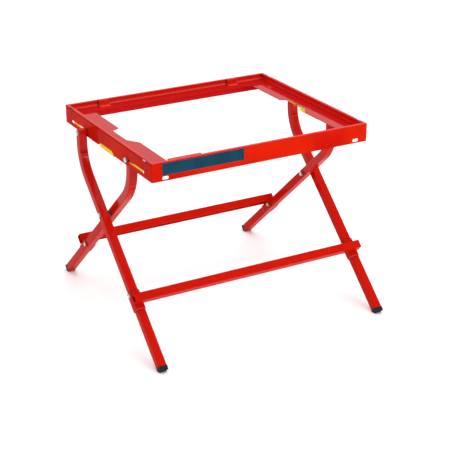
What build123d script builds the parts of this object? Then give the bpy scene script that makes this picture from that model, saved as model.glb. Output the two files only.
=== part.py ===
"""Folding machine stand: an open top frame on two scissor leg pairs.

Millimetres, +Z up, X to the right along the front rail, Y to the rear.
The origin is on the floor under the middle of the frame.
"""
import os
from math import acos, asin, atan2, cos, degrees, hypot, radians, sin, tan

from build123d import *

os.makedirs("parts", exist_ok=True)

# Overall size of the top frame
frame_width = 700.0
frame_depth = 595.0
frame_height = 590.0

# Rails: bent sheet with a narrow lip along the top
rail_height = 54.0
rail_sheet = 1.5
lip_width = 10.0
corner_radius = 4.0
top_bend_radius = 2.0
rail_return = 45.0
seam_notch_length = 22.0
seam_notch_drop = 3.2
seam_notch_lip = 4.0
lip_tab_width = 10.0
lip_tab_length = 102.0
lip_tab_inset = 107.0
tab_hole_radius = 2.0
tab_hole_spacing = 40.0

# Slots in the front rail for clamping a machine
clamp_slot_length = 20.0
clamp_slot_height = 10.0
clamp_slot_inset = 41.0
clamp_slot_drop = 45.5

# Bare label on the front rail
label_length = 254.0
label_height = 34.0
label_thickness = 0.8
label_left_gap = 31.5
label_drop = 3.5

# Decks: the shelf inside the rails, its edge turned up against the webs
deck_sheet = 1.5
deck_drop = 19.5
deck_bend_radius = 4.0
deck_flange_height = 14.0
side_deck_width = 73.0
waist_width = 48.0
rear_deck_width = 50.0
waist_rear_end = 70.0
waist_rear_root = 57.0
waist_front_end = 74.0
waist_front_root = 36.0
waist_tip_radius = 2.0
waist_root_radius = 4.0
waist_curve_radius = 16.0
stiffener_length = 100.0
stiffener_depth = 22.0

# Stop clips from the lip of the rear rail down to the deck
clip_width = 35.0
clip_sheet = 1.5
clip_foot = 18.0
clip_bend_radius = 2.5
clip_inset = 124.0
clip_slit = 3.0
clip_slit_reach = 7.0

# Legs: square tube, upright at the top and bent towards the foot
tube = 25.0
tube_wall = 1.5
tube_edge_radius = 2.5
leg_upright = 88.0
bend_radius = 130.0
top_bolt_offset = 137.0
top_bolt_drop = 38.5
foot_spread = 378.0
foot_tube_gap = 2.2
leg_to_rail_gap = 4.5

# Bolts, nuts and washers of the legs
bolt_radius = 4.0
bolt_clearance = 0.2
head_radius = 8.5
head_height = 4.5
nut_flats = 13.0
nut_height = 6.5
washer_radius = 8.5
washer_thickness = 1.6
thread_reach = 2.0

# Slots in the side rails that the top bolts slide in
slide_play = 0.25
slide_end_play = 2.0
fold_angle = 42.0

# Lock bars behind the side rails
lock_sheet = 1.5
lock_play = 0.3
lock_travel = 15.0
lock_height = 20.0
lock_rail_gap = 2.0
lock_end_gap = 8.0
lock_ramp_play = 0.6
tongue_width = 16.0
tongue_offset = 54.0
tongue_deck_gap = 0.5
rivet_drop = 38.0
rivet_radius = 2.2
rivet_head_radius = 4.0
rivet_head_height = 1.4
rivet_play = 0.25

# Finger grips of the lock bars, seen in a notch of the side rails
grip_length = 94.0
grip_thickness = 10.0
grip_height = 19.0
grip_hang = 6.5
grip_round = 3.5
notch_top_length = 78.0
notch_bottom_length = 112.0
notch_height = 10.0

# Return springs of the lock bars
spring_radius = 3.2
spring_wire = 0.9
spring_offset = 78.0
lug_length = 11.0
lug_thickness = 1.5
lug_rise = 4.0

# Crossbars: open channel sections carried by saddles on the legs
crossbar_width = 25.0
crossbar_depth = 26.0
crossbar_sheet = 2.0
crossbar_bend_radius = 3.5
crossbar_place = 287.0
crossbar_overhang = 2.5
saddle_sheet = 2.0
saddle_bend_radius = 3.0
saddle_start = 255.0
saddle_length = 60.0
saddle_bolt_place = 265.0
saddle_play = 0.15
saddle_bolt_radius = 3.0
saddle_head_radius = 6.5
saddle_head_height = 3.2
saddle_nut_flats = 10.0
saddle_nut_height = 5.0

# Foot caps: a plug in the tube and a rubber tip cut level with the floor
cap_reach = 14.0
cap_plug_length = 18.0
cap_plug_play = 0.2
cap_round = 3.0

# One overrun serves all cuts
over = 1.0

# Places worked out from the sizes
half_width = frame_width / 2
half_depth = frame_depth / 2
rail_bottom = frame_height - rail_height
web_inside = half_width - rail_sheet
deck_top = frame_height - deck_drop
deck_under = deck_top - deck_sheet
bolt_z = frame_height - top_bolt_drop

inner_leg_face = web_inside - lock_sheet - 2 * lock_play
inner_leg_inside = inner_leg_face - tube
outer_leg_inside = half_width + leg_to_rail_gap
outer_leg_face = outer_leg_inside + tube

slope = atan2(bolt_z - leg_upright, top_bolt_offset + foot_spread)
pivot_z = foot_spread * tan(slope)
pivot_run = hypot(top_bolt_offset, bolt_z - pivot_z)
pivot_rise = atan2(bolt_z - pivot_z, top_bolt_offset)
fold = radians(fold_angle)
slide_travel = pivot_run * cos(pivot_rise - fold) - top_bolt_offset

lock_bottom = rail_bottom + lock_rail_gap
lock_top = lock_bottom + lock_height
lock_outside = web_inside - lock_play
lock_inside = lock_outside - lock_sheet


def block(x_span, y_span, z_span):
    """A box between two X, two Y and two Z values."""
    size = [span[1] - span[0] for span in (x_span, y_span, z_span)]
    middle = [(span[0] + span[1]) / 2 for span in (x_span, y_span, z_span)]
    return Pos(*middle) * Box(*size)


def rod(radius, x_span, y, z):
    """A round bar along X."""
    length = x_span[1] - x_span[0]
    return Pos((x_span[0] + x_span[1]) / 2, y, z) * Rot(0, 90, 0) * Cylinder(radius, length)


def long_hole(x_span, y_span, z, radius):
    """A slot through X with round ends, from one end centre in Y to the other."""
    middle = block(x_span, y_span, (z - radius, z + radius))
    return middle + rod(radius, x_span, y_span[0], z) + rod(radius, x_span, y_span[1], z)


def sheet_x(points, x_span):
    """A flat piece of the given outline in Y and Z, filling the X span."""
    outline = Plane.YZ.offset(x_span[0]) * Polygon(*points, align=None)
    return extrude(outline, amount=x_span[1] - x_span[0], dir=(1, 0, 0))


def other_side(part):
    """The same piece on the left side."""
    return mirror(part, about=Plane.YZ)


def other_end(part):
    """The same piece turned from the rear to the front."""
    return mirror(part, about=Plane.XZ)


def save(name, *pieces):
    """Write the solids of one named piece, or of a group of like pieces."""
    solids = [solid for piece in pieces for solid in piece.solids()]
    group = Compound(children=solids)
    group.label = name
    export_step(group, f"parts/{name}.step")


def rounded_slab(inset, z_span):
    """A slab of the frame's plan, drawn in by the inset."""
    width = frame_width - 2 * inset
    depth = frame_depth - 2 * inset
    height = z_span[1] - z_span[0]
    radius = max(corner_radius - inset, rail_sheet / 2)
    plan = RectangleRounded(width, depth, radius)
    return Pos(0, 0, z_span[0]) * extrude(plan, amount=height)


def frame_ring():
    """Web and lip of all four rails before they are parted."""
    ring = rounded_slab(0, (rail_bottom, frame_height))
    top_edges = ring.faces().sort_by(Axis.Z)[-1].edges()
    ring = fillet(top_edges, top_bend_radius)
    ring -= rounded_slab(rail_sheet, (rail_bottom - over, frame_height - rail_sheet))
    ring -= rounded_slab(lip_width, (rail_bottom, frame_height + over))
    for side_x in (-1, 1):
        for end_y in (-1, 1):
            seam = end_y * (half_depth - rail_return)
            bend = [side_x * (half_width - seam_notch_lip), side_x * (half_width + over)]
            ring -= block(sorted(bend), (seam - seam_notch_length / 2, seam + seam_notch_length / 2),
                          (frame_height - seam_notch_drop, frame_height + over))
    return ring


def make_rails():
    """Front and rear rails wrap the corners; side rails are welded between them."""
    ring = frame_ring()
    seam = half_depth - rail_return
    across = (-half_width - over, half_width + over)
    upright = (rail_bottom - over, frame_height + over)
    front = ring & block(across, (-half_depth - over, -seam), upright)
    rear = ring & block(across, (seam, half_depth + over), upright)
    right = ring & block((0, across[1]), (-seam, seam), upright)

    slot_z = frame_height - clamp_slot_drop
    slot_radius = clamp_slot_height / 2
    slot_half = clamp_slot_length / 2 - slot_radius
    tab_x = -half_width + lip_tab_inset
    tab_y = -half_depth + lip_width
    front += block((tab_x - lip_tab_length / 2, tab_x + lip_tab_length / 2),
                   (tab_y, tab_y + lip_tab_width), (frame_height - rail_sheet, frame_height))
    for shift in (-tab_hole_spacing / 2, tab_hole_spacing / 2):
        front -= Pos(tab_x + shift, tab_y, frame_height) * Cylinder(tab_hole_radius, 2 * rail_sheet + over)
    for side in (-1, 1):
        slot_x = side * (half_width - clamp_slot_inset)
        cut = long_hole((-rail_sheet - over, rail_sheet + over), (-slot_half, slot_half), 0, slot_radius)
        front -= Pos(slot_x, -half_depth, slot_z) * Rot(0, 0, 90) * cut
        for edge in (-1, 1):
            slit_x = side * (half_width - clip_inset) + edge * (clip_width + clip_slit) / 2
            rear -= block((slit_x - clip_slit / 2, slit_x + clip_slit / 2),
                          (half_depth - lip_width - over, half_depth - lip_width + clip_slit_reach),
                          (frame_height - rail_sheet - over, frame_height + over))

    right -= side_rail_cuts()
    save("front_rail", front)
    save("rear_rail", rear)
    save("right_rail", right)
    save("left_rail", other_side(right))


def side_rail_cuts():
    """Slide slots, rivet holes and the notch for the finger grip, right side."""
    through = (web_inside - over, half_width + over)
    radius = bolt_radius + slide_play
    end = top_bolt_offset + slide_travel + slide_end_play
    cuts = long_hole(through, (top_bolt_offset, end), bolt_z, radius)
    cuts += long_hole(through, (-end, -top_bolt_offset), bolt_z, radius)
    for shift in (-tongue_offset, tongue_offset):
        cuts += rod(rivet_radius, through, shift, frame_height - rivet_drop)
    low = notch_bottom_length / 2
    high = notch_top_length / 2
    floor = rail_bottom - over
    notch = [(low, floor), (low, rail_bottom), (high, rail_bottom + notch_height),
             (-high, rail_bottom + notch_height), (-low, rail_bottom), (-low, floor)]
    return cuts + sheet_x(notch, through)


def make_label():
    left = -half_width + label_left_gap
    top = frame_height - label_drop
    label = block((left, left + label_length), (-half_depth - label_thickness, -half_depth),
                  (top - label_height, top))
    save("front_label", label)


def tray():
    """A shallow tray that fills the frame: floor, round bend and turned-up edge."""
    top = deck_top + deck_flange_height

    def bowl(inset, bottom, radius):
        width = frame_width - 2 * inset
        depth = frame_depth - 2 * inset
        body = Pos(0, 0, bottom) * extrude(Rectangle(width, depth), amount=top - bottom)
        low = body.faces().sort_by(Axis.Z)[0].edges()
        return fillet(list(low) + list(body.edges().filter_by(Axis.Z)), radius)

    outside = bowl(rail_sheet, deck_under, deck_bend_radius + deck_sheet)
    inside = bowl(rail_sheet + deck_sheet, deck_top, deck_bend_radius)
    return outside - inside


def side_deck_plan():
    """Plan of the right deck: a ledge at each end and a narrow waist between them."""
    inner = half_width - side_deck_width
    waist = half_width - waist_width
    outline = Polygon((half_width, -half_depth), (half_width, half_depth), (inner, half_depth),
                      (inner, waist_rear_end), (waist, waist_rear_root), (waist, -waist_front_root),
                      (inner, -waist_front_end), (inner, -half_depth), align=None)

    def corner(x, y):
        return outline.vertices().sort_by_distance((x, y, 0))[0]

    outline = fillet(corner(inner, waist_rear_end), waist_tip_radius)
    outline = fillet(corner(waist, waist_rear_root), waist_root_radius)
    outline = fillet(corner(waist, -waist_front_root), waist_curve_radius)
    return fillet(corner(inner, -waist_front_end), waist_curve_radius)


def make_decks():
    """Side decks and rear deck, and the clips that stand on the rear one."""
    level = (deck_under - over, frame_height)
    shell = tray()
    plan = Pos(0, 0, level[0]) * extrude(side_deck_plan(), amount=level[1] - level[0])
    deck = shell & plan
    inner = half_width - side_deck_width
    stiffener_end = -half_depth + rail_sheet + deck_bend_radius + deck_sheet
    deck += block((inner, inner + deck_sheet), (stiffener_end, stiffener_end + stiffener_length),
                  (deck_under - stiffener_depth, deck_under))
    save("right_deck", deck)
    save("left_deck", other_side(deck))

    rear = shell & block((-inner, inner), (half_depth - rear_deck_width, half_depth), level)
    save("rear_deck", rear)

    clips = []
    face = half_depth - lip_width
    for side in (-1, 1):
        middle = side * (half_width - clip_inset)
        across = (middle - clip_width / 2, middle + clip_width / 2)
        clip = block(across, (face - clip_foot, face), (deck_top, frame_height))
        clip -= block(across, (face - clip_foot - over, face - clip_sheet),
                      (deck_top + clip_sheet, frame_height + over))
        bend = clip.edges().filter_by(Axis.X).sort_by_distance(
            (middle, face - clip_sheet, deck_top + clip_sheet))[0]
        clips.append(fillet(bend, clip_bend_radius))
    save("rear_stop_clips", *clips)


def leg_face(half, plane, overrun):
    """Side view of a rear-foot leg: the tube's outline at a distance from its axis."""
    turn = radians(90) - slope
    tangent = bend_radius * tan(turn / 2)
    axis_y = -top_bolt_offset
    corner_z = pivot_z + top_bolt_offset * tan(slope)
    bend_z = corner_z + tangent
    centre = (axis_y + bend_radius, bend_z)
    run = foot_run() + overrun
    along = (cos(slope), -sin(slope))
    out = (sin(slope), cos(slope))

    def on_bend(radius, share):
        angle = radians(180) + share * turn
        return (centre[0] + radius * cos(angle), centre[1] + radius * sin(angle))

    def at_foot(side):
        return (run * along[0] + side * out[0], pivot_z + run * along[1] + side * out[1])

    with BuildSketch(plane) as sketch:
        with BuildLine():
            Line((axis_y - half, bolt_z), (axis_y - half, bend_z))
            ThreePointArc(on_bend(bend_radius + half, 0), on_bend(bend_radius + half, 1 / 2),
                          on_bend(bend_radius + half, 1))
            Line(on_bend(bend_radius + half, 1), at_foot(-half))
            Line(at_foot(-half), at_foot(half))
            Line(at_foot(half), on_bend(bend_radius - half, 1))
            ThreePointArc(on_bend(bend_radius - half, 1), on_bend(bend_radius - half, 1 / 2),
                          on_bend(bend_radius - half, 0))
            Line((axis_y + half, bend_z), (axis_y + half, bolt_z))
            ThreePointArc((axis_y + half, bolt_z), (axis_y, bolt_z + half), (axis_y - half, bolt_z))
        make_face()
    return sketch.sketch


def foot_run():
    """Length of the tube's axis from the pivot to its lower end."""
    end_z = foot_tube_gap + tube / 2 * cos(slope)
    return (pivot_z - end_z) / sin(slope)


def make_leg(inside):
    """A rear-foot leg on the right side, its inner face at the given X."""
    outer = extrude(leg_face(tube / 2, Plane.YZ.offset(inside), 0), amount=tube)
    sides = outer.faces().filter_by(Axis.X)
    outer = fillet([edge for side in sides for edge in side.edges()], tube_edge_radius)
    hollow = leg_face(tube / 2 - tube_wall, Plane.YZ.offset(inside + tube_wall), over)
    leg = outer - extrude(hollow, amount=tube - 2 * tube_wall)
    through = (inside - over, inside + tube + over)
    hole = bolt_radius + bolt_clearance
    leg -= rod(hole, through, -top_bolt_offset, bolt_z)
    leg -= rod(hole, through, 0, pivot_z)
    saddle_hole = on_leg(rod(saddle_bolt_radius + bolt_clearance, through, 0, 0), saddle_bolt_place)
    return leg - saddle_hole


def on_leg(part, run):
    """Move a piece made at the origin along the slope of a rear-foot leg."""
    return Pos(0, run * cos(slope), pivot_z - run * sin(slope)) * part


leg_frame = Plane(origin=(0, 0, pivot_z), x_dir=(0, cos(slope), -sin(slope)), z_dir=(1, 0, 0))


def leg_block(run_span, height_span, x_span):
    """A box along the leg: distance from the pivot, height over the axis, and X."""
    return leg_frame * block(run_span, height_span, x_span)


def rounded_channel(run_span, height_span, x_span, radius):
    """A bar across the legs with the two long edges away from them rounded."""
    bar = block(run_span, height_span, x_span)
    long_edges = bar.edges().filter_by(Axis.Z)
    return leg_frame * fillet(long_edges.sort_by(Axis.Y)[-2:], radius)


def make_crossbar(leg_out):
    """Open channel across the legs, its web away from them."""
    low = tube / 2 + saddle_sheet
    half = leg_out + saddle_sheet + saddle_play + crossbar_overhang
    runs = (crossbar_place - crossbar_width / 2, crossbar_place + crossbar_width / 2)
    bar = rounded_channel(runs, (low, low + crossbar_depth), (-half, half), crossbar_bend_radius)
    inner_runs = (runs[0] + crossbar_sheet, runs[1] - crossbar_sheet)
    hollow = rounded_channel(inner_runs, (low - over, low + crossbar_depth - crossbar_sheet),
                             (-half - over, half + over), crossbar_bend_radius - crossbar_sheet)
    return bar - hollow


def make_saddle(inside):
    """A bent clip over the leg that carries the crossbar."""
    runs = (saddle_start, saddle_start + saddle_length)
    face = tube / 2
    wide = (inside - saddle_play - saddle_sheet, inside + tube + saddle_play + saddle_sheet)
    clip = block(runs, (-face, face + saddle_sheet), wide)
    bends = clip.edges().filter_by(Axis.X).sort_by(Axis.Y)[-2:]
    clip = leg_frame * fillet(bends, saddle_bend_radius)
    inner = (inside - saddle_play, inside + tube + saddle_play)
    clip -= leg_block((runs[0] - over, runs[1] + over), (-face - over, face), inner)
    hole = rod(saddle_bolt_radius + bolt_clearance, (wide[0] - over, wide[1] + over), 0, 0)
    return clip - on_leg(hole, saddle_bolt_place)


def make_cap(inside):
    """Rubber tip and plug at the foot of a leg, cut level with the floor."""
    start = foot_run()
    half = tube / 2
    tip = leg_block((start, start + cap_reach), (-half, half), (inside, inside + tube))
    far = tip.faces().sort_by(Axis(leg_frame.origin, leg_frame.x_dir))[-1]
    tip = fillet(far.edges(), cap_round)
    floor = block((inside - over, inside + tube + over), (0, 2 * foot_spread), (-tube, 0))
    tip -= floor
    bore = tube_wall + cap_plug_play
    plug = leg_block((start - cap_plug_length, start), (-half + bore, half - bore),
                     (inside + bore, inside + tube - bore))
    return tip + plug


def bolt(radius, head_r, head_h, x_head, x_end):
    """A round-headed bolt along X, its head outside on the right."""
    head = Rot(0, 90, 0) * Cylinder(head_r, head_h)
    dome = head.faces().sort_by(Axis.X)[-1]
    head = fillet(dome.edges(), head_h * dome_share)
    return Pos(x_head + head_h / 2, 0, 0) * head + rod(radius, (x_end, x_head), 0, 0)


dome_share = 0.85


def nut(radius, flats, x_span):
    """A hexagon nut on the bolt's axis."""
    hexagon = RegularPolygon(flats / 2, 6, major_radius=False)
    body = Plane.YZ.offset(x_span[0]) * hexagon
    body = extrude(body, amount=x_span[1] - x_span[0])
    return body - rod(radius, (x_span[0] - over, x_span[1] + over), 0, 0)


def washer(radius, x_span):
    ring = rod(washer_radius, x_span, 0, 0)
    return ring - rod(radius, (x_span[0] - over, x_span[1] + over), 0, 0)


def both(part):
    return [part, other_side(part)]


def make_inner_legs():
    """Legs inside the rails, with their feet at the rear, and what rides on them."""
    leg = make_leg(inner_leg_inside)
    save("right_inner_leg", leg)
    save("left_inner_leg", other_side(leg))
    save("rear_crossbar", make_crossbar(inner_leg_face))
    save("rear_saddles", *both(make_saddle(inner_leg_inside)))
    save("rear_foot_caps", *both(make_cap(inner_leg_inside)))
    make_saddle_bolts("rear", inner_leg_inside, other_end=False)

    place = Pos(0, -top_bolt_offset, bolt_z)
    head_x = half_width + washer_thickness
    end_x = inner_leg_inside - nut_height - thread_reach
    save("front_slide_bolts", *both(place * bolt(bolt_radius, head_radius, head_height, head_x, end_x)))
    save("front_slide_washers", *both(place * washer(bolt_radius, (half_width, head_x))))
    nut_span = (inner_leg_inside - nut_height, inner_leg_inside)
    save("front_slide_nuts", *both(place * nut(bolt_radius, nut_flats, nut_span)))

    place = Pos(0, 0, pivot_z)
    save("pivot_bolts", *both(place * bolt(bolt_radius, head_radius, head_height, outer_leg_face, end_x)))
    save("pivot_nuts", *both(place * nut(bolt_radius, nut_flats, nut_span)))
    save("pivot_spacers", *both(place * washer(bolt_radius, (inner_leg_face, outer_leg_inside))))


def make_outer_legs():
    """Legs outside the rails, with their feet at the front, and what rides on them."""
    leg = other_end(make_leg(outer_leg_inside))
    save("right_outer_leg", leg)
    save("left_outer_leg", other_side(leg))
    save("front_crossbar", other_end(make_crossbar(outer_leg_face)))
    save("front_saddles", *both(other_end(make_saddle(outer_leg_inside))))
    save("front_foot_caps", *both(other_end(make_cap(outer_leg_inside))))
    make_saddle_bolts("front", outer_leg_inside, other_end=True)

    place = Pos(0, top_bolt_offset, bolt_z)
    nut_top = lock_inside - lock_play
    washer_span = (nut_top - washer_thickness, nut_top)
    nut_span = (washer_span[0] - nut_height, washer_span[0])
    end_x = nut_span[0] - thread_reach
    save("rear_slide_bolts", *both(place * bolt(bolt_radius, head_radius, head_height, outer_leg_face, end_x)))
    save("rear_slide_washers", *both(place * washer(bolt_radius, washer_span)))
    save("rear_slide_nuts", *both(place * nut(bolt_radius, nut_flats, nut_span)))
    save("rear_slide_spacers", *both(place * washer(bolt_radius, (half_width, outer_leg_inside))))


def make_saddle_bolts(end, inside, other_end):
    """Bolt and nut of each saddle, at the rear or turned to the front."""
    outside = inside + tube + saddle_play + saddle_sheet
    nut_out = inside - saddle_play - saddle_sheet
    nut_span = (nut_out - saddle_nut_height, nut_out)
    pin = on_leg(bolt(saddle_bolt_radius, saddle_head_radius, saddle_head_height, outside,
                      nut_span[0] - thread_reach), saddle_bolt_place)
    lock_nut = on_leg(nut(saddle_bolt_radius, saddle_nut_flats, nut_span), saddle_bolt_place)
    if other_end:
        pin = mirror(pin, about=Plane.XZ)
        lock_nut = mirror(lock_nut, about=Plane.XZ)
    save(f"{end}_saddle_bolts", *both(pin))
    save(f"{end}_saddle_nuts", *both(lock_nut))


def bolt_travel(angle):
    """How far the front bolts and the rear bolts have slid at a fold angle."""
    front = slide_travel * angle / fold
    both_ends = 2 * (pivot_run * cos(pivot_rise - angle) - top_bolt_offset)
    return front, both_ends - front


ramp_steps = 12


def ramp_outline(end):
    """Upper edge of the lock bar beyond a bolt: it clears the bolt at every fold angle."""
    points = []
    for step in range(1, ramp_steps + 1):
        angle = fold * step / ramp_steps
        drop = lock_travel * angle / fold
        run = top_bolt_offset + bolt_travel(angle)[end]
        edge_z = bolt_z - bolt_radius - lock_ramp_play + drop
        points.append((run + bolt_radius, min(edge_z, lock_top)))
    return points


def bar_half(end):
    """Half of the lock bar from the middle outwards: notch for the bolt, ramp and end."""
    seat = bolt_z - bolt_radius - slide_play
    notch_in = top_bolt_offset - bolt_radius - slide_play
    slot_end = top_bolt_offset + slide_travel + slide_end_play
    far = slot_end - lock_end_gap
    ramp = [point for point in ramp_outline(end) if point[0] < far]
    outline = [(0, lock_bottom), (far, lock_bottom), (far, ramp[-1][1])]
    outline += reversed(ramp)
    outline += [(top_bolt_offset + bolt_radius, seat - lock_ramp_play), (notch_in, seat - lock_ramp_play)]
    outline += [(notch_in, lock_top), (0, lock_top)]
    return outline


def make_lock_bar():
    """Bar, forks that run on the guide rivets and spring lugs, right side."""
    thick = (lock_inside, lock_outside)
    bar = sheet_x(bar_half(1), thick)
    bar += sheet_x([(-y, z) for y, z in bar_half(0)], thick)
    grip_half = grip_length / 2
    bar += block(thick, (-grip_half, grip_half), (rail_bottom - grip_hang + grip_round, lock_bottom))
    rivet_z = frame_height - rivet_drop
    guide = rivet_radius + rivet_play
    tongue_top = deck_under - tongue_deck_gap
    for place in (-tongue_offset, tongue_offset):
        bar += block(thick, (place - tongue_width / 2, place + tongue_width / 2),
                     (lock_bottom, tongue_top))
        through = (thick[0] - over, thick[1] + over)
        bar -= block(through, (place - guide, place + guide), (rivet_z, tongue_top + over))
        bar -= rod(guide, through, place, rivet_z)
    lug_z = lock_bottom + lug_rise
    for place in (-spring_offset, spring_offset):
        bar += block((lock_inside - lug_length, lock_inside), (place - spring_radius, place + spring_radius),
                     (lug_z - lug_thickness, lug_z))
    return bar


def make_locks():
    bar = make_lock_bar()
    save("right_lock_bar", bar)
    save("left_lock_bar", other_side(bar))

    low = rail_bottom - grip_hang
    grip = block((lock_outside - grip_thickness, lock_outside), (-grip_length / 2, grip_length / 2),
                 (low, low + grip_height))
    long_edges = grip.edges().filter_by(Axis.Y)
    grip = fillet(long_edges, grip_round)
    grip -= bar
    save("right_lock_grip", grip)
    save("left_lock_grip", other_side(grip))

    lug_z = lock_bottom + lug_rise
    springs = []
    middle_x = lock_inside - lug_length / 2
    for place in (-spring_offset, spring_offset):
        height = deck_under - lug_z
        coil = Cylinder(spring_radius, height) - Cylinder(spring_radius - spring_wire, height + over)
        springs.append(Pos(middle_x, place, lug_z + height / 2) * coil)
    save("right_lock_springs", *springs)
    save("left_lock_springs", *[other_side(coil) for coil in springs])

    rivets = []
    inner_head = lock_inside - lock_play
    for place in (-tongue_offset, tongue_offset):
        pin = rod(rivet_radius, (inner_head, half_width), 0, 0)
        tail = rod(rivet_head_radius, (inner_head - rivet_head_height, inner_head), 0, 0)
        rivets += both(Pos(0, place, frame_height - rivet_drop) * (pin + tail))
    save("lock_guide_rivets", *rivets)


make_rails()
make_label()
make_decks()
make_inner_legs()
make_outer_legs()
make_locks()

print("pivot height", round(pivot_z, 2), "top bolt height", round(bolt_z, 2))
print("slide travel", round(slide_travel, 2), "at fold", fold_angle)
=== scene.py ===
"""Folding machine stand: finishes, small fittings, floor, light and camera."""
from math import hypot, pi, radians

import bpy
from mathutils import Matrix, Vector


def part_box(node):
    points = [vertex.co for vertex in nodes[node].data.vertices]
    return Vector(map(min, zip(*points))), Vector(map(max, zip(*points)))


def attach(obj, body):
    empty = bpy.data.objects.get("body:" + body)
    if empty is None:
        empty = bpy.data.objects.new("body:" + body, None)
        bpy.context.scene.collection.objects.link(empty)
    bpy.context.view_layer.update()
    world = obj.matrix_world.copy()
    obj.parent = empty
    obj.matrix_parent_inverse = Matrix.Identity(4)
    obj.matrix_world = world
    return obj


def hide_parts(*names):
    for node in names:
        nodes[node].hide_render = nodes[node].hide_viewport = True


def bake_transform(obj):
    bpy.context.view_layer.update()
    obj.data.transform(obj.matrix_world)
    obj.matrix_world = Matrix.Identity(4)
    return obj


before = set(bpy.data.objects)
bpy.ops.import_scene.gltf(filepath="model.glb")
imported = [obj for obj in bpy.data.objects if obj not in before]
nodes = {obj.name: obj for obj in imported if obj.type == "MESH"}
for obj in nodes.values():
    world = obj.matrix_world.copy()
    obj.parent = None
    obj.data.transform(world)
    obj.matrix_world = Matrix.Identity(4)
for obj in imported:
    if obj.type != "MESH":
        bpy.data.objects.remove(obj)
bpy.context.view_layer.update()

MM = 0.001
SIDES = (("left", -1), ("right", 1))

# Sizes of the stand that its finishes and fittings follow, in millimetres
frame_height = 590.0
half_width = 350.0
half_depth = 297.5
rail_height = 54.0
rail_sheet = 1.5
seam_inset = 45.0
deck_top = 570.5
deck_under = 569.0
outer_crease_z = 494.0
inner_crease_z = 475.0
pivot_z = 340.2
foot_y = 365.1
saddle_start = 255.0
saddle_end = 315.0

# Return springs between the decks and the lugs of the lock bars
spring_x = 341.2
spring_offset = 78.0
spring_radius = 3.2
spring_wire = 0.55
lock_lug_z = 542.0

# Spot-weld marks on the side webs: how far each pair lies from the middle, and its height
weld_marks = ((54.0, 563.5), (258.0, 566.0))

# Bright zinc drops in the front seam notches, put there as a stand-in for a glint of light
bead_lap = 7.0
bead_inset = 1.0
bead_drop = 3.6

# Threads on the bolts' inner ends, and the slice of an end in which its rim is looked for
thread_inset = 0.4
thread_pitch = 0.6
end_slice = 0.2
slide_thread_radius = 4.0
saddle_thread_radius = 3.0


class Value:
    """A socket of a node tree; sums on it add Math nodes."""

    def __init__(self, tree, socket):
        self.tree = tree
        self.socket = socket

    def math(self, operation, *terms):
        return self.tree.node("ShaderNodeMath", {"operation": operation}, dict(enumerate(terms)))

    def __add__(self, other):
        return self.math("ADD", self, other)

    def __mul__(self, other):
        return self.math("MULTIPLY", self, other)

    def __sub__(self, other):
        return self.math("SUBTRACT", self, other)

    def __rsub__(self, other):
        return self.math("SUBTRACT", other, self)

    def __truediv__(self, other):
        return self.math("DIVIDE", self, other)

    def __rtruediv__(self, other):
        return self.math("DIVIDE", other, self)

    def __abs__(self):
        return self.math("ABSOLUTE", self)

    __radd__ = __add__
    __rmul__ = __mul__

    def at_most(self, limit):
        return self.math("MINIMUM", self, limit)

    def at_least(self, limit):
        return self.math("MAXIMUM", self, limit)

    def above(self, low, high):
        """0 below low, 1 above high, smooth between them."""
        return self.tree.node("ShaderNodeMapRange", {"interpolation_type": "SMOOTHSTEP"},
                              {0: self, 1: low, 2: high})

    def within(self, middle, reach, soft):
        """1 near the middle, falling to 0 beyond the reach."""
        return 1 - abs(self - middle).above(reach, reach + soft)

    def spread(self, low, high, first, last):
        """first at low, last at high, straight between them."""
        return self.tree.node("ShaderNodeMapRange", None, {0: self, 1: low, 2: high, 3: first, 4: last})


class Tree:
    """A node tree whose nodes all come from one method."""

    def __init__(self, data):
        self.data = data

    def add(self, kind, settings=None, inputs=None):
        """A new node: its settings first, then the values or links of its sockets."""
        made = self.data.nodes.new(kind)
        for key, value in (settings or {}).items():
            setattr(made, key, value)
        for key, value in (inputs or {}).items():
            if isinstance(value, Value):
                self.data.links.new(value.socket, made.inputs[key])
            else:
                made.inputs[key].default_value = value
        return made

    def node(self, kind, settings=None, inputs=None, output=0):
        """One output of a new node."""
        return Value(self, self.add(kind, settings, inputs).outputs[output])

    def axis(self, vector, axis):
        """X, Y or Z of a vector, for axis 0, 1 or 2."""
        return self.node("ShaderNodeSeparateXYZ", None, {0: vector}, axis)


def opaque(tint):
    """A colour link as it is, or three numbers with full alpha."""
    return tint if isinstance(tint, Value) else (*tint, 1)


class Finish(Tree):
    """A material: one Principled surface and the nodes that vary it."""

    def __init__(self, name):
        self.material = bpy.data.materials.new(name)
        self.material.use_nodes = True
        super().__init__(self.material.node_tree)
        self.data.nodes.clear()

    def place(self):
        """Object coordinates as one vector and as X, Y and Z in millimetres."""
        where = self.node("ShaderNodeTexCoord", output=3)
        return where, [self.axis(where, axis) * 1000 for axis in range(3)]

    def facing(self, axis):
        """How far the surface faces along X, Y or Z, from its own normal."""
        return self.axis(self.node("ShaderNodeTexCoord", output=1), axis)

    def noise(self, where, scale, detail=3.0, roughness=0.5):
        return self.node("ShaderNodeTexNoise", None,
                         {"Vector": where, "Scale": scale, "Detail": detail, "Roughness": roughness})

    def mix(self, factor, first, second):
        """Mix two colours."""
        return self.node("ShaderNodeMix", {"data_type": "RGBA"},
                         {0: factor, 6: opaque(first), 7: opaque(second)}, 2)

    def bump(self, height, strength, distance):
        return self.node("ShaderNodeBump", None,
                         {"Strength": strength, "Distance": distance, "Height": height})

    def surface(self, inputs):
        """Close the tree with a Principled surface and give the material."""
        shader = self.node("ShaderNodeBsdfPrincipled", None, inputs)
        self.add("ShaderNodeOutputMaterial", None, {0: shader})
        return self.material
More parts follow.
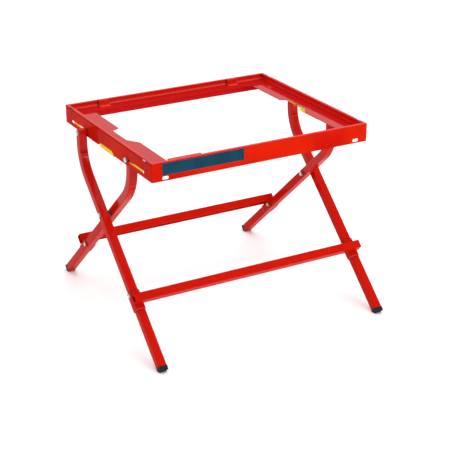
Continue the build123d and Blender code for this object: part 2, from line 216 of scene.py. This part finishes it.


# Red powder coat, linear colours: its own tones and wear, and the painted shade, light, highlights and
# sheen laid on it
COAT_RED = (0.61, 0.013, 0.002)
COAT_DEEP = (0.50, 0.006, 0.002)
# Painted shade: dark lines at bends, creases, tube corners, saddle ends and over the weld marks
COAT_PAINTED_SHADE = (0.26, 0.004, 0.002)
# Painted highlight: under the leg creases, along the rear deck bend and saddle rims, on the clips' level
# faces
COAT_PAINTED_HIGHLIGHT = (0.86, 0.07, 0.05)
COAT_WORN = (0.60, 0.06, 0.04)
# Painted sheen: the pale pink gloss of level faces
COAT_PAINTED_SHEEN = (0.72, 0.17, 0.17)
# Painted light on inner faces and deck flanges
COAT_PAINTED_LIGHT = (0.87, 0.014, 0.006)
# Brighter painted light and painted highlights on the side decks
COAT_PAINTED_BRIGHT_LIGHT = (1.00, 0.014, 0.006)
# Painted half shade under the decks and on the decks' level faces
COAT_PAINTED_HALF_SHADE = (0.46, 0.008, 0.010)
# Painted shade in the seam notches
SEAM_NOTCH_SHADE = (0.030, 0.006, 0.006)


def coated_steel(name, gloss, level_tint_share, bands=(), top_bands=(), depth=0.0, shine=0.0, upper_shine=0.0,
                 crease_z=None, level_tint=COAT_PAINTED_SHEEN):
    """Glossy red coat: slight orange peel, clouded depth, rubbed spots, and bands of painted shade,
    light and highlights.

    Faces that lie level take level_tint by the share level_tint_share: a painted sheen by default,
    painted shade or a painted highlight where a finish gives those; they also take a clear coat by the
    share shine. Bands lie under that tint and top_bands over it. A leg has a fold line at crease_z
    with a painted shade line and a painted highlight below it, painted shade along its rounded
    corners, and a clear coat above the pivot by the share upper_shine.
    """
    finish = Finish(name)
    where, (x, y, z) = finish.place()
    cloud = finish.noise(where, 9.0, 4.0)
    colour = finish.mix(cloud.above(0.35, 0.7) * (1 - depth) + depth, COAT_RED, COAT_DEEP)
    for make_mask, tint in bands:
        colour = finish.mix(make_mask(x, y, z), colour, tint)
    # Level faces take level_tint: a painted sheen by default, painted shade or a painted highlight where
    # a finish gives those
    level = finish.facing(2).above(0.75, 0.97)
    colour = finish.mix(level * (cloud * 0.5 + 0.75) * level_tint_share, colour, level_tint)
    for make_mask, tint in top_bands:
        colour = finish.mix(make_mask(x, y, z), colour, tint)
    rub = finish.noise(where, 55.0, 6.0, 0.65)
    colour = finish.mix(rub.above(0.66, 0.76) * 0.35, colour, COAT_WORN)
    peel = finish.noise(where, 620.0, 2.0)
    wave = finish.noise(where, 70.0, 1.0)
    height = peel * 0.25 + wave * 0.75
    if crease_z is not None:
        # Painted shade along the tube's rounded corners
        corner_shade = (finish.facing(0) * finish.facing(1) * -2.0).above(0.20, 0.55)
        colour = finish.mix(corner_shade * 0.7, colour, COAT_PAINTED_SHADE)
        # A painted shade line on the fold and a painted highlight 4 mm below it; the fold's relief is
        # the bump
        across = abs(finish.facing(1)).above(0.5, 0.8)
        crease = z.within(crease_z, 0.7, 1.6)
        colour = finish.mix(crease * across, colour, COAT_PAINTED_SHADE)
        colour = finish.mix(z.within(crease_z - 4.0, 1.0, 2.0) * across * 0.3, colour, COAT_PAINTED_HIGHLIGHT)
        height = height - crease * 2.0
    coat = level * shine + shine * 0.02
    if upper_shine:
        coat = coat + z.above(pivot_z - 30.0, pivot_z + 30.0) * upper_shine
    roughness = finish.noise(where, 32.0, 4.0) * 0.08 + rub.above(0.6, 0.8) * 0.12 + 0.09
    return finish.surface({"Specular IOR Level": gloss, "Base Color": colour, "Roughness": roughness,
                           "Coat Weight": coat, "Normal": finish.bump(height, 0.12, 0.0009)})


def rail_steel():
    """Coat of the rails: painted shade along the outer top bend, the lower edge, the seam notches and
    under the decks, painted light on the inner faces, a faint painted sheen on level faces.
    """
    def top_edge(z):
        return z.above(frame_height - 5.5, frame_height - 4.0)

    # Painted shade along the outer top bend
    def top_bend_shade(x, y, z):
        return abs(x).above(half_width - 1.8, half_width - 0.5) * top_edge(z) * 0.75

    # Painted shade along the lower edge
    def low_edge_shade(x, y, z):
        rail_bottom = frame_height - rail_height
        return (1 - z.above(rail_bottom, rail_bottom + 2.5)) * 0.6

    # Painted light on the rails' inner faces
    def inside_painted_light(x, y, z):
        inside_x = 1 - abs(x).above(half_width - rail_sheet, half_width - rail_sheet / 2)
        inside_y = 1 - abs(y).above(half_depth - rail_sheet, half_depth - rail_sheet / 2)
        return inside_x * inside_y * (1 - z.above(frame_height - 3.0, frame_height - 1.5))

    # Painted shade on the inner faces below the decks
    def under_deck_shade(x, y, z):
        return inside_painted_light(x, y, z) * (1 - z.above(deck_under - 0.5, deck_under + 0.5)) * 0.9

    # Painted shade in the seam notches
    def seam(x, y, z):
        middle = half_depth - seam_inset
        near = y.within(middle, 9.5, 1.0) + y.within(-middle - 8.5, 2.0, 1.5)
        return near * abs(x).above(half_width - 5.0, half_width - 4.2) * top_edge(z)

    bands = [(inside_painted_light, COAT_PAINTED_LIGHT), (under_deck_shade, COAT_PAINTED_HALF_SHADE), (top_bend_shade, COAT_PAINTED_SHADE),
             (low_edge_shade, COAT_DEEP), (seam, SEAM_NOTCH_SHADE)]
    return coated_steel("rail_red", 0.008, 0.15, bands, shine=0.30)


def deck_steel():
    """Deeper coat of the decks, glossy enough to mirror the webs, with painted shade on the level faces,
    painted light on the flanges and painted highlights along the bends.
    """
    # Painted light on the upturned flanges
    def flange_light(x, y, z):
        return z.above(deck_top + 0.5, deck_top + 2.0) * 0.6

    # Brighter painted light on the side flanges
    def side_flange_light(x, y, z):
        side = abs(x).above(half_width - 6.0, half_width - 4.5)
        return side * z.above(deck_top + 4.5, deck_top + 6.0) * 0.85

    def bend(z):
        return z.above(deck_top, deck_top + 0.3) * (1 - z.above(deck_top + 4.5, deck_top + 6.5))

    # Painted highlight along the side bends
    def side_bend_highlight(x, y, z):
        return bend(z) * abs(x).above(half_width - 10.0, half_width - 8.0) * 0.85

    # Painted highlight along the rear bend
    def rear_bend_highlight(x, y, z):
        return bend(z) * y.above(half_depth - 10.0, half_depth - 8.0) * 0.9

    # Level faces take painted half shade
    return coated_steel("deck_red", 0.02, 0.85, [(flange_light, COAT_PAINTED_LIGHT), (side_flange_light, COAT_PAINTED_BRIGHT_LIGHT)],
                        [(side_bend_highlight, COAT_PAINTED_BRIGHT_LIGHT), (rear_bend_highlight, COAT_PAINTED_HIGHLIGHT)], depth=0.8, shine=0.38,
                        level_tint=COAT_PAINTED_HALF_SHADE)


def along_leg(y, z):
    """Distance down a leg from the pivot, for the straight part below it."""
    length = hypot(foot_y, pivot_z)
    return abs(y) * (foot_y / length) - (z - pivot_z) * (pivot_z / length)


def leg_steel(name, gloss, crease_z, upper_shine):
    """Coat of the legs, with painted shadow at both ends of the saddle."""
    def saddle_shadow(x, y, z):
        reach = along_leg(y, z)
        return reach.within(saddle_end + 1.2, 1.0, 0.9) + reach.within(saddle_start - 1.2, 1.0, 0.9)

    return coated_steel(name, gloss, 0.05, [(saddle_shadow, COAT_PAINTED_SHADE)], depth=0.9,
                        crease_z=crease_z, upper_shine=upper_shine)


def saddle_steel():
    """Coat of the saddles, with a painted highlight on the rim where the sheet ends below the crossbar.
    """
    def saddle_lip_highlight(x, y, z):
        return along_leg(y, z).above(saddle_end - 2.4, saddle_end - 1.4) * 0.8

    return coated_steel("saddle_red", 0.02, 0.05, [(saddle_lip_highlight, COAT_PAINTED_HIGHLIGHT)], depth=0.9)


def weld_mark_steel():
    """Coat over the weld marks, darker all over than the web round them, as painted shade of the shallow
    marks.
    """
    # Painted shade over the whole mark
    def all_over_shade(x, y, z):
        return 0.55

    return coated_steel("weld_mark_red", 0.05, 0.0, [(all_over_shade, COAT_PAINTED_SHADE)])


def label_plate():
    """Bare blue-green plate: satin film, a paler worn margin, faint grain."""
    finish = Finish("label_blue")
    low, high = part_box("front_label")
    half = (high - low) * 500
    middle = (high + low) * 500
    where, (x, _, z) = finish.place()
    cloud = finish.noise(where, 14.0)
    colour = finish.mix(cloud.above(0.3, 0.75), (0.0028, 0.036, 0.066), (0.005, 0.050, 0.086))
    rim = abs(x - middle.x).above(half.x - 1.6, half.x - 0.9)
    rim = rim + abs(z - middle.z).above(half.z - 1.6, half.z - 0.9)
    colour = finish.mix(rim.at_most(1.0) * 0.45, colour, (0.012, 0.065, 0.095))
    grain = finish.noise(where, 900.0, 2.0)
    return finish.surface({"Specular IOR Level": 0.06, "Base Color": colour,
                           "Roughness": cloud * 0.12 + 0.26,
                           "Normal": finish.bump(grain, 0.08, 0.0004)})


def plated_steel():
    """Zinc plate: cloudy, fine turned lines, random stains, painted shade on the flanks that do not face
    along X.
    """
    finish = Finish("zinc_plate")
    where, _ = finish.place()
    cloud = finish.noise(where, 60.0, 4.0)
    colour = finish.mix(cloud, (0.74, 0.73, 0.70), (0.56, 0.56, 0.55))
    stain = finish.noise(where, 210.0, 5.0, 0.7)
    colour = finish.mix(stain.above(0.62, 0.78) * 0.5, colour, (0.30, 0.28, 0.25))
    # Painted shade: faces that do not face along X, such as the sides of heads and nuts, are darkened
    flank_shade = 1 - abs(finish.facing(0)).above(0.45, 0.9)
    colour = finish.mix(flank_shade * 0.8, colour, (0.16, 0.155, 0.15))
    lines = finish.node("ShaderNodeTexWave", {"wave_type": "BANDS", "bands_direction": "X"},
                        {"Vector": where, "Scale": 260.0, "Distortion": 1.5, "Detail": 2.0}, 1)
    return finish.surface({"Metallic": 1.0, "Base Color": colour, "Roughness": cloud * 0.18 + 0.22,
                           "Normal": finish.bump(lines + stain, 0.10, 0.0003)})


def burnished_steel():
    """Dark burnished steel of the spacers between the legs: mottled, oiled."""
    finish = Finish("dark_spacer")
    where, _ = finish.place()
    mottle = finish.noise(where, 150.0, 5.0, 0.6)
    colour = finish.mix(mottle, (0.10, 0.085, 0.08), (0.04, 0.035, 0.035))
    return finish.surface({"Metallic": 1.0, "Base Color": colour, "Roughness": mottle * 0.25 + 0.30,
                           "Normal": finish.bump(mottle, 0.12, 0.0003)})


def spring_wire_steel():
    """Drawn wire of the springs, streaked grey."""
    finish = Finish("spring_wire")
    where, _ = finish.place()
    streak = finish.noise(where, 400.0)
    colour = finish.mix(streak, (0.42, 0.42, 0.43), (0.25, 0.25, 0.27))
    return finish.surface({"Metallic": 1.0, "Base Color": colour, "Roughness": streak * 0.2 + 0.28,
                           "Normal": finish.bump(streak, 0.1, 0.0002)})


def yellow_coat():
    """Yellow coat of the lock bars, greener on the finger tab below the rail as painted light, greyer
    where it is rubbed.
    """
    finish = Finish("lock_yellow")
    where, (_, _, z) = finish.place()
    cloud = finish.noise(where, 24.0, 4.0)
    colour = finish.mix(cloud, (1.00, 0.60, 0.030), (0.98, 0.50, 0.018))
    rail_bottom = frame_height - rail_height
    # Painted light: below the rail's lower edge the bar is tinted greener, as lit yellow looks
    colour = finish.mix(1 - z.above(rail_bottom, rail_bottom + 4.0), colour, (0.76, 0.62, 0.005))
    rub = finish.noise(where, 120.0, 5.0, 0.7)
    colour = finish.mix(rub.above(0.62, 0.74) * 0.5, colour, (0.46, 0.30, 0.10))
    return finish.surface({"Specular IOR Level": 0.08, "Base Color": colour,
                           "Roughness": cloud * 0.14 + 0.22,
                           "Normal": finish.bump(finish.noise(where, 500.0, 2.0), 0.1, 0.0005)})


def yellow_grip():
    """Moulded yellow grip: fine spark grain, warmer and a little darker along its top as painted shade
    from the web above.
    """
    finish = Finish("grip_yellow")
    low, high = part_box("left_lock_grip")
    where, (_, _, z) = finish.place()
    cloud = finish.noise(where, 30.0)
    # Painted shade: the top is warmer and a little darker, as yellow looks in the web's shade
    warm = z.above(low.z * 1000 + 3.0, high.z * 1000 - 3.0)
    colour = finish.mix(warm, (0.86, 0.86, 0.008), (0.92, 0.78, 0.014))
    colour = finish.mix(cloud.above(0.5, 0.8) * 0.3, colour, (0.76, 0.60, 0.010))
    grain = finish.noise(where, 1400.0, 2.0)
    return finish.surface({"Specular IOR Level": 0.10, "Base Color": colour,
                           "Roughness": grain * 0.14 + 0.30,
                           "Normal": finish.bump(grain, 0.16, 0.0004)})


def moulded_rubber():
    """Dark rubber of the foot caps: matt, scuffed paler near the floor."""
    finish = Finish("cap_rubber")
    where, (_, _, z) = finish.place()
    cloud = finish.noise(where, 45.0, 4.0)
    colour = finish.mix(cloud, (0.006, 0.007, 0.007), (0.012, 0.013, 0.013))
    scuff = finish.noise(where, 240.0, 5.0, 0.7).above(0.52, 0.70) * (1 - z.above(2.0, 14.0))
    colour = finish.mix(scuff * 0.6, colour, (0.10, 0.10, 0.095))
    grain = finish.noise(where, 1100.0)
    return finish.surface({"Specular IOR Level": 0.16, "Base Color": colour,
                           "Roughness": cloud * 0.16 + 0.46, "Normal": finish.bump(grain, 0.3, 0.0005)})


def floor_paper():
    """White paper sweep under the stand."""
    finish = Finish("floor_paper")
    where, _ = finish.place()
    cloud = finish.noise(where, 1.2, 2.0)
    colour = finish.mix(cloud, (0.97, 0.97, 0.97), (0.99, 0.99, 0.99))
    return finish.surface({"IOR": 1.45, "Base Color": colour, "Roughness": cloud * 0.1 + 0.85})


wire = spring_wire_steel()
zinc = plated_steel()
mark_red = weld_mark_steel()

FINISH_OF = (
    (rail_steel(), ("front_rail", "rear_rail", "left_rail", "right_rail", "lock_guide_rivets")),
    (deck_steel(), ("left_deck", "right_deck", "rear_deck")),
    # Clip coat: its level faces take a strong painted highlight
    (coated_steel("clip_red", 0.05, 0.9, shine=0.9, level_tint=COAT_PAINTED_HIGHLIGHT), ("rear_stop_clips",)),
    (leg_steel("outer_leg_red", 0.03, outer_crease_z, 0.15), ("left_outer_leg", "right_outer_leg")),
    (leg_steel("inner_leg_red", 0.022, inner_crease_z, 0.26), ("left_inner_leg", "right_inner_leg")),
    # Crossbar coat: its level faces, chiefly the top bends, take painted shade
    (coated_steel("crossbar_red", 0.022, 0.8, depth=0.7, level_tint=COAT_PAINTED_SHADE),
     ("front_crossbar", "rear_crossbar", "rear_slide_spacers")),
    (saddle_steel(), ("front_saddles", "rear_saddles")),
    (label_plate(), ("front_label",)),
    (yellow_coat(), ("left_lock_bar", "right_lock_bar")),
    (yellow_grip(), ("left_lock_grip", "right_lock_grip")),
    (moulded_rubber(), ("front_foot_caps", "rear_foot_caps")),
    (wire, ("left_lock_springs", "right_lock_springs")),
    (burnished_steel(), ("pivot_spacers",)),
    (zinc, ("front_slide_bolts", "front_slide_washers", "front_slide_nuts", "rear_slide_bolts",
            "rear_slide_washers", "rear_slide_nuts", "pivot_bolts", "pivot_nuts",
            "front_saddle_bolts", "front_saddle_nuts", "rear_saddle_bolts", "rear_saddle_nuts")),
)
for material, names in FINISH_OF:
    for name in names:
        node = nodes[name]
        if not node.material_slots:
            node.data.materials.append(material)
        for held in node.material_slots:
            held.material = material


class Shape(Tree):
    """A Geometry Nodes tree with named sizes in metres, turned into plain meshes."""

    def __init__(self, name, **sizes):
        super().__init__(bpy.data.node_groups.new(name, "GeometryNodeTree"))
        sockets = self.data.interface
        sockets.new_socket("Mesh", in_out="OUTPUT", socket_type="NodeSocketGeometry")
        kinds = {tuple: "NodeSocketVector", float: "NodeSocketFloat", int: "NodeSocketInt"}
        self.identifiers = {}
        for key, value in sizes.items():
            socket = sockets.new_socket(key, in_out="INPUT", socket_type=kinds[type(value)])
            socket.default_value = value
            self.identifiers[key] = socket.identifier
        self.given = self.add("NodeGroupInput")

    def size(self, key):
        return Value(self, self.given.outputs[key])

    def ring(self, key, points):
        """A circle whose radius is a named size."""
        return self.node("GeometryNodeCurvePrimitiveCircle", None,
                         {"Resolution": points, "Radius": self.size(key)})

    def repeated(self, piece, **turned):
        """The piece again and again along the row that Start, Step and Count give."""
        row = self.node("GeometryNodeMeshLine", {"mode": "OFFSET"},
                        {"Count": self.size("Count"), "Start Location": self.size("Start"),
                         "Offset": self.size("Step")})
        return self.node("GeometryNodeInstanceOnPoints", None,
                         {"Points": row, "Instance": piece, **turned})

    def close(self, mesh, material):
        """End the tree: real meshes in one finish."""
        real = self.node("GeometryNodeRealizeInstances", None, {0: mesh})
        painted = self.node("GeometryNodeSetMaterial", None, {"Geometry": real, "Material": material})
        self.add("NodeGroupOutput", None, {0: painted})

    def make(self, name, **sizes):
        """A plain mesh object from the tree at the given sizes."""
        made = bpy.data.objects.new(name, bpy.data.meshes.new(name))
        bpy.context.scene.collection.objects.link(made)
        modifier = made.modifiers.new("shape", "NODES")
        modifier.node_group = self.data
        for key, value in sizes.items():
            modifier[self.identifiers[key]] = value
        bpy.context.view_layer.update()
        graph = bpy.context.evaluated_depsgraph_get()
        mesh = bpy.data.meshes.new_from_object(made.evaluated_get(graph), depsgraph=graph)
        made.modifiers.remove(modifier)
        made.data = mesh
        mesh.name = name
        for face in mesh.polygons:
            face.use_smooth = True
        return made


def joined(name, parts):
    """Several plain objects as one."""
    bpy.ops.object.select_all(action="DESELECT")
    for part in parts:
        part.select_set(True)
    bpy.context.view_layer.objects.active = parts[0]
    bpy.ops.object.join()
    parts[0].name = name
    return parts[0]


def coil_spring():
    """A coil spring that stands on the given place."""
    shape = Shape("coil_spring", Place=(0.0, 0.0, 0.0), Height=0.027, Radius=0.003, Wire=0.0005,
                  Turns=9.0)
    helix = shape.node("GeometryNodeCurveSpiral", None,
                       {"Resolution": 20, "Rotations": shape.size("Turns"),
                        "Height": shape.size("Height"), "Start Radius": shape.size("Radius"),
                        "End Radius": shape.size("Radius")})
    coil = shape.node("GeometryNodeCurveToMesh", None,
                      {"Curve": helix, "Profile Curve": shape.ring("Wire", 8), "Fill Caps": True})
    placed = shape.node("GeometryNodeTransform", None,
                        {"Geometry": coil, "Translation": shape.size("Place")})
    shape.close(placed, wire)
    return shape


def weld_mark():
    """Shallow round marks in a row along Y on a side web."""
    shape = Shape("weld_marks", Start=(0.0, 0.0, 0.0), Step=(0.0, 0.1, 0.0), Count=2, Radius=0.0046,
                  Rise=0.0005)
    dome = shape.node("GeometryNodeMeshUVSphere", None,
                      {"Segments": 16, "Rings": 8, "Radius": shape.size("Radius")})
    flat = shape.node("ShaderNodeCombineXYZ", None,
                      {"X": shape.size("Rise") / shape.size("Radius"), "Y": 1.0, "Z": 1.0})
    shape.close(shape.repeated(dome, Scale=flat), mark_red)
    return shape


def seam_bead():
    """Bright drops in a seam notch as a stand-in for a glint of light: a row of overlapping drops."""
    shape = Shape("seam_bead", Start=(0.0, 0.0, 0.0), Step=(0.0, 0.002, 0.0), Count=8, Radius=0.0015)
    drop = shape.node("GeometryNodeMeshUVSphere", None,
                      {"Segments": 16, "Rings": 10, "Radius": shape.size("Radius")})
    shape.close(shape.repeated(drop, Scale=(0.9, 1.3, 1.0)), zinc)
    return shape


def bolt_thread():
    """Thread ridges on the end of a bolt along X."""
    shape = Shape("bolt_thread", Start=(0.0, 0.0, 0.0), Step=(-0.0006, 0.0, 0.0), Count=3, Radius=0.004,
                  Ridge=0.00022)
    ridge = shape.node("GeometryNodeCurveToMesh", None,
                       {"Curve": shape.ring("Radius", 24), "Profile Curve": shape.ring("Ridge", 5)})
    shape.close(shape.repeated(ridge, Rotation=(0.0, pi / 2, 0.0)), zinc)
    return shape


def bolt_end(name):
    """X of the inner end of a pair's right bolt, and the bolt's middle in Y and Z, in metres."""
    points = [vertex.co for vertex in nodes[name].data.vertices if vertex.co.x > 0]
    end_x = min(point.x for point in points)
    rim = [point for point in points if point.x < end_x + end_slice * MM]
    y, z = ((min(point[axis] for point in rim) + max(point[axis] for point in rim)) / 2
            for axis in (1, 2))
    return end_x, y, z


coil = coil_spring()
spring_height = (deck_under - lock_lug_z - 2 * spring_wire) * MM
spring_foot = (lock_lug_z + spring_wire) * MM
for side, sign in SIDES:
    across = sign * spring_x * MM
    parts = [coil.make(f"{side}_coil", Place=(across, end * spring_offset * MM, spring_foot),
                       Height=spring_height, Radius=(spring_radius - spring_wire) * MM,
                       Wire=spring_wire * MM)
             for end in (-1, 1)]
    springs = joined(f"{side}_lock_coils", parts)
    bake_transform(springs)
    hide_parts(f"{side}_lock_springs")

mark = weld_mark()
for side, sign in SIDES:
    parts = [mark.make(f"{side}_weld_mark", Start=(sign * half_width * MM, -reach * MM, height * MM),
                       Step=(0.0, 2 * reach * MM, 0.0))
             for reach, height in weld_marks]
    marks = joined(f"{side}_weld_marks", parts)
    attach(marks, "frame")

bead = seam_bead()
bead_y = (seam_inset - half_depth - bead_lap) * MM
bead_z = (frame_height - bead_drop) * MM
for side, sign in SIDES:
    drops = bead.make(f"{side}_seam_bead", Start=(sign * (half_width - bead_inset) * MM, bead_y, bead_z))
    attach(drops, "frame")

thread = bolt_thread()
THREADS = (("front_slide_bolts", "slide_bolts", slide_thread_radius),
           ("pivot_bolts", "inner_legs", slide_thread_radius),
           ("rear_slide_bolts", "outer_legs", slide_thread_radius),
           ("front_saddle_bolts", "outer_legs", saddle_thread_radius),
           ("rear_saddle_bolts", "inner_legs", saddle_thread_radius))
for name, body, radius in THREADS:
    end_x, y, z = bolt_end(name)
    parts = [thread.make(f"{name}_ridge", Start=(sign * (end_x + thread_inset * MM), y, z),
                         Step=(sign * thread_pitch * MM, 0.0, 0.0), Radius=radius * MM)
             for _, sign in SIDES]
    ridges = joined(f"{name}_thread", parts)
    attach(ridges, body)


def area_light(name, place, target, width, height, power):
    """A soft panel that faces its target; places in metres, power in watts."""
    data = bpy.data.lights.new(name, "AREA")
    data.shape = "RECTANGLE"
    data.size = width
    data.size_y = height
    data.energy = power
    lamp = bpy.data.objects.new(name, data)
    bpy.context.scene.collection.objects.link(lamp)
    lamp.location = place
    lamp.rotation_euler = (Vector(target) - Vector(place)).to_track_quat("-Z", "Y").to_euler()


def studio_world():
    """White room for light: bright overhead, dimmer near the floor and in front; seen as white."""
    world = bpy.data.worlds.new("studio")
    world.use_nodes = True
    room = Tree(world.node_tree)
    room.data.nodes.clear()
    direction = room.node("ShaderNodeTexCoord")
    overhead = room.axis(direction, 2).spread(0.10, 0.40, 0.25, 1.28)
    front = room.axis(direction, 1).spread(0.35, -0.55, 1.0, 0.42)
    seen = room.node("ShaderNodeLightPath")
    backdrop = room.node("ShaderNodeBackground", None,
                         {"Color": (1, 1, 1, 1), "Strength": (overhead * front).at_least(seen)})
    room.add("ShaderNodeOutputWorld", None, {0: backdrop})
    return world


def studio_floor(reach, drop):
    """A wide level sheet just under the feet."""
    mesh = bpy.data.meshes.new("floor")
    corners = [(x * reach, y * reach, -drop) for x, y in ((-1, -1), (1, -1), (1, 1), (-1, 1))]
    mesh.from_pydata(corners, [], [(0, 1, 2, 3)])
    mesh.materials.append(floor_paper())
    floor = bpy.data.objects.new("floor", mesh)
    bpy.context.scene.collection.objects.link(floor)


def studio_camera(place, lens, tilt, turn):
    """The photograph's point of view; tilt down and turn right in degrees."""
    data = bpy.data.cameras.new("camera")
    data.lens = lens
    data.sensor_width = 36.0
    camera = bpy.data.objects.new("camera", data)
    bpy.context.scene.collection.objects.link(camera)
    camera.location = place
    camera.rotation_euler = (radians(90 - tilt), 0, radians(-turn))
    bpy.context.scene.camera = camera


studio_floor(reach=150.0, drop=0.4 * MM)
bpy.context.scene.world = studio_world()
area_light("key", (0.6, -4.2, 2.0), (0, 0, 0.3), width=2.4, height=1.8, power=95)
area_light("overhead", (0.6, 0.4, 4.4), (0, 0, 0), width=4.5, height=4.5, power=70)
studio_camera((-1.6939, -3.0972, 1.7560), lens=99.47, tilt=23.396, turn=29.252)
bpy.context.scene.view_settings.view_transform = "Standard"
